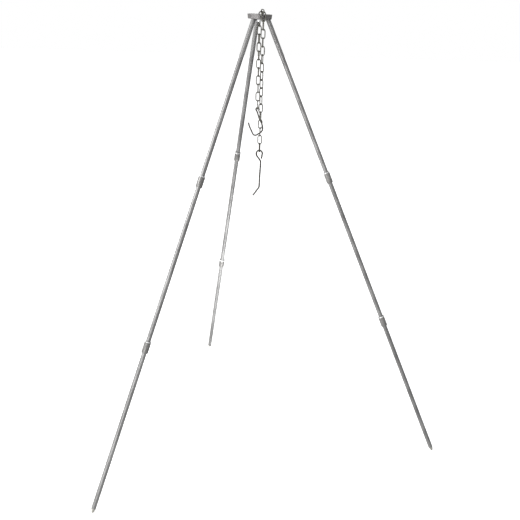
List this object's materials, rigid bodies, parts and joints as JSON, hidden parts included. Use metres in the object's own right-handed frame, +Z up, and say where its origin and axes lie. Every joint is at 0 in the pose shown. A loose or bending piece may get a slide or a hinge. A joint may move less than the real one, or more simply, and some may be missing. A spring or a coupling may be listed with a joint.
{
  "type": "campfire cauldron stand",
  "caption": "Folding tripod of plug-together steel rods with a slotted hub, a hanging chain, a J-shaped adjusting hook and a pot hook.",
  "frame": {"origin": "on the ground, under the middle of the box round the three feet", "axes": "+Z up; +Y towards the back leg; +X towards the right leg's side"},
  "size_m": [0.7856, 0.6822, 0.9906],
  "materials": {
    "frame_steel": "satin plated",
    "fitting_steel": "satin plated",
    "chain_steel": "plated wire"
  },
  "bodies": {
    "hub_assembly": {"hub": "frame_steel", "chain_bush": "fitting_steel", "hinge_pin_left": "fitting_steel", "hinge_pin_right": "fitting_steel", "hinge_pin_back": "fitting_steel", "chain_link_saddle": "chain_steel", "chain_link_dive": "chain_steel", "chain_link_rim": "chain_steel", "chain_link_hole": "chain_steel"},
    "leg_left_upper": {"leg_left_upper_rod": "frame_steel", "leg_left_upper_sleeve": "fitting_steel"},
    "leg_left_middle": {"leg_left_middle_rod": "frame_steel", "leg_left_middle_sleeve": "fitting_steel"},
    "leg_left_lower": {"leg_left_lower_rod": "frame_steel"},
    "leg_right_upper": {"leg_right_upper_rod": "frame_steel", "leg_right_upper_sleeve": "fitting_steel"},
    "leg_right_middle": {"leg_right_middle_rod": "frame_steel", "leg_right_middle_sleeve": "fitting_steel"},
    "leg_right_lower": {"leg_right_lower_rod": "frame_steel"},
    "leg_back_upper": {"leg_back_upper_rod": "frame_steel", "leg_back_upper_sleeve": "fitting_steel"},
    "leg_back_middle": {"leg_back_middle_rod": "frame_steel", "leg_back_middle_sleeve": "fitting_steel"},
    "leg_back_lower": {"leg_back_lower_rod": "frame_steel"},
    "chain_loop": {"front_link_02": "chain_steel", "front_link_03": "chain_steel", "front_link_04": "chain_steel", "front_link_05": "chain_steel", "front_link_06": "chain_steel", "front_link_07": "chain_steel", "front_link_08": "chain_steel", "front_link_09": "chain_steel", "front_link_10": "chain_steel", "front_link_11": "chain_steel", "front_link_12": "chain_steel", "front_link_13": "chain_steel", "front_link_14": "chain_steel", "front_link_15": "chain_steel", "rear_link_02": "chain_steel", "rear_link_03": "chain_steel", "rear_link_04": "chain_steel", "rear_link_05": "chain_steel", "rear_link_06": "chain_steel", "rear_link_07": "chain_steel", "rear_link_08": "chain_steel", "rear_link_09": "chain_steel", "rear_link_10": "chain_steel", "rear_link_11": "chain_steel", "adjusting_hook": "chain_steel"},
    "chain_link_16": {"front_link_16": "chain_steel"},
    "chain_link_17": {"front_link_17": "chain_steel"},
    "pot_hook": {"pot_hook": "chain_steel"}
  },
  "joints": [
    {"name": "leg_left_fold", "type": "hinge", "parent": "hub_assembly", "child": "leg_left_upper", "pos_m": [-0.01342, -0.12065, 0.97491], "axis": [-0.5, 0.866, 0], "range_deg": [-21.1, 0]},
    {"name": "leg_right_fold", "type": "hinge", "parent": "hub_assembly", "child": "leg_right_upper", "pos_m": [0.01342, -0.12065, 0.97491], "axis": [0.5, 0.866, 0], "range_deg": [0, 21.1]},
    {"name": "leg_back_fold", "type": "hinge", "parent": "hub_assembly", "child": "leg_back_upper", "pos_m": [0, -0.0974, 0.97491], "axis": [1, 0, 0], "range_deg": [-21.1, 0]},
    {"name": "leg_left_middle_pull", "type": "slide", "parent": "leg_left_upper", "child": "leg_left_middle", "axis": [-0.3536, -0.2042, -0.9128], "range_m": [0, 0.015]},
    {"name": "leg_left_lower_pull", "type": "slide", "parent": "leg_left_middle", "child": "leg_left_lower", "axis": [-0.3536, -0.2042, -0.9128], "range_m": [0, 0.015]},
    {"name": "leg_right_middle_pull", "type": "slide", "parent": "leg_right_upper", "child": "leg_right_middle", "axis": [0.3536, -0.2042, -0.9128], "range_m": [0, 0.015]},
    {"name": "leg_right_lower_pull", "type": "slide", "parent": "leg_right_middle", "child": "leg_right_lower", "axis": [0.3536, -0.2042, -0.9128], "range_m": [0, 0.015]},
    {"name": "leg_back_middle_pull", "type": "slide", "parent": "leg_back_upper", "child": "leg_back_middle", "axis": [0, 0.4083, -0.9128], "range_m": [0, 0.015]},
    {"name": "leg_back_lower_pull", "type": "slide", "parent": "leg_back_middle", "child": "leg_back_lower", "axis": [0, 0.4083, -0.9128], "range_m": [0, 0.015]},
    {"name": "chain_swing", "type": "hinge", "parent": "hub_assembly", "child": "chain_loop", "pos_m": [0, -0.1401, 0.96793], "axis": [0, 0.9103, -0.4139], "range_deg": [-25, 25]},
    {"name": "link_16_swing", "type": "hinge", "parent": "chain_loop", "child": "chain_link_16", "pos_m": [0.00347, -0.12501, 0.7284], "axis": [0.9659, -0.2588, 0], "range_deg": [-45, 45]},
    {"name": "link_17_swing", "type": "hinge", "parent": "chain_link_16", "child": "chain_link_17", "pos_m": [0.0035, -0.1249, 0.71121], "axis": [0.3827, 0.9239, 0], "range_deg": [-45, 45]},
    {"name": "pot_hook_swing", "type": "hinge", "parent": "chain_link_17", "child": "pot_hook", "pos_m": [0.0035, -0.1249, 0.69401], "axis": [0.866, -0.5, 0], "range_deg": [-45, 45]}
  ]
}
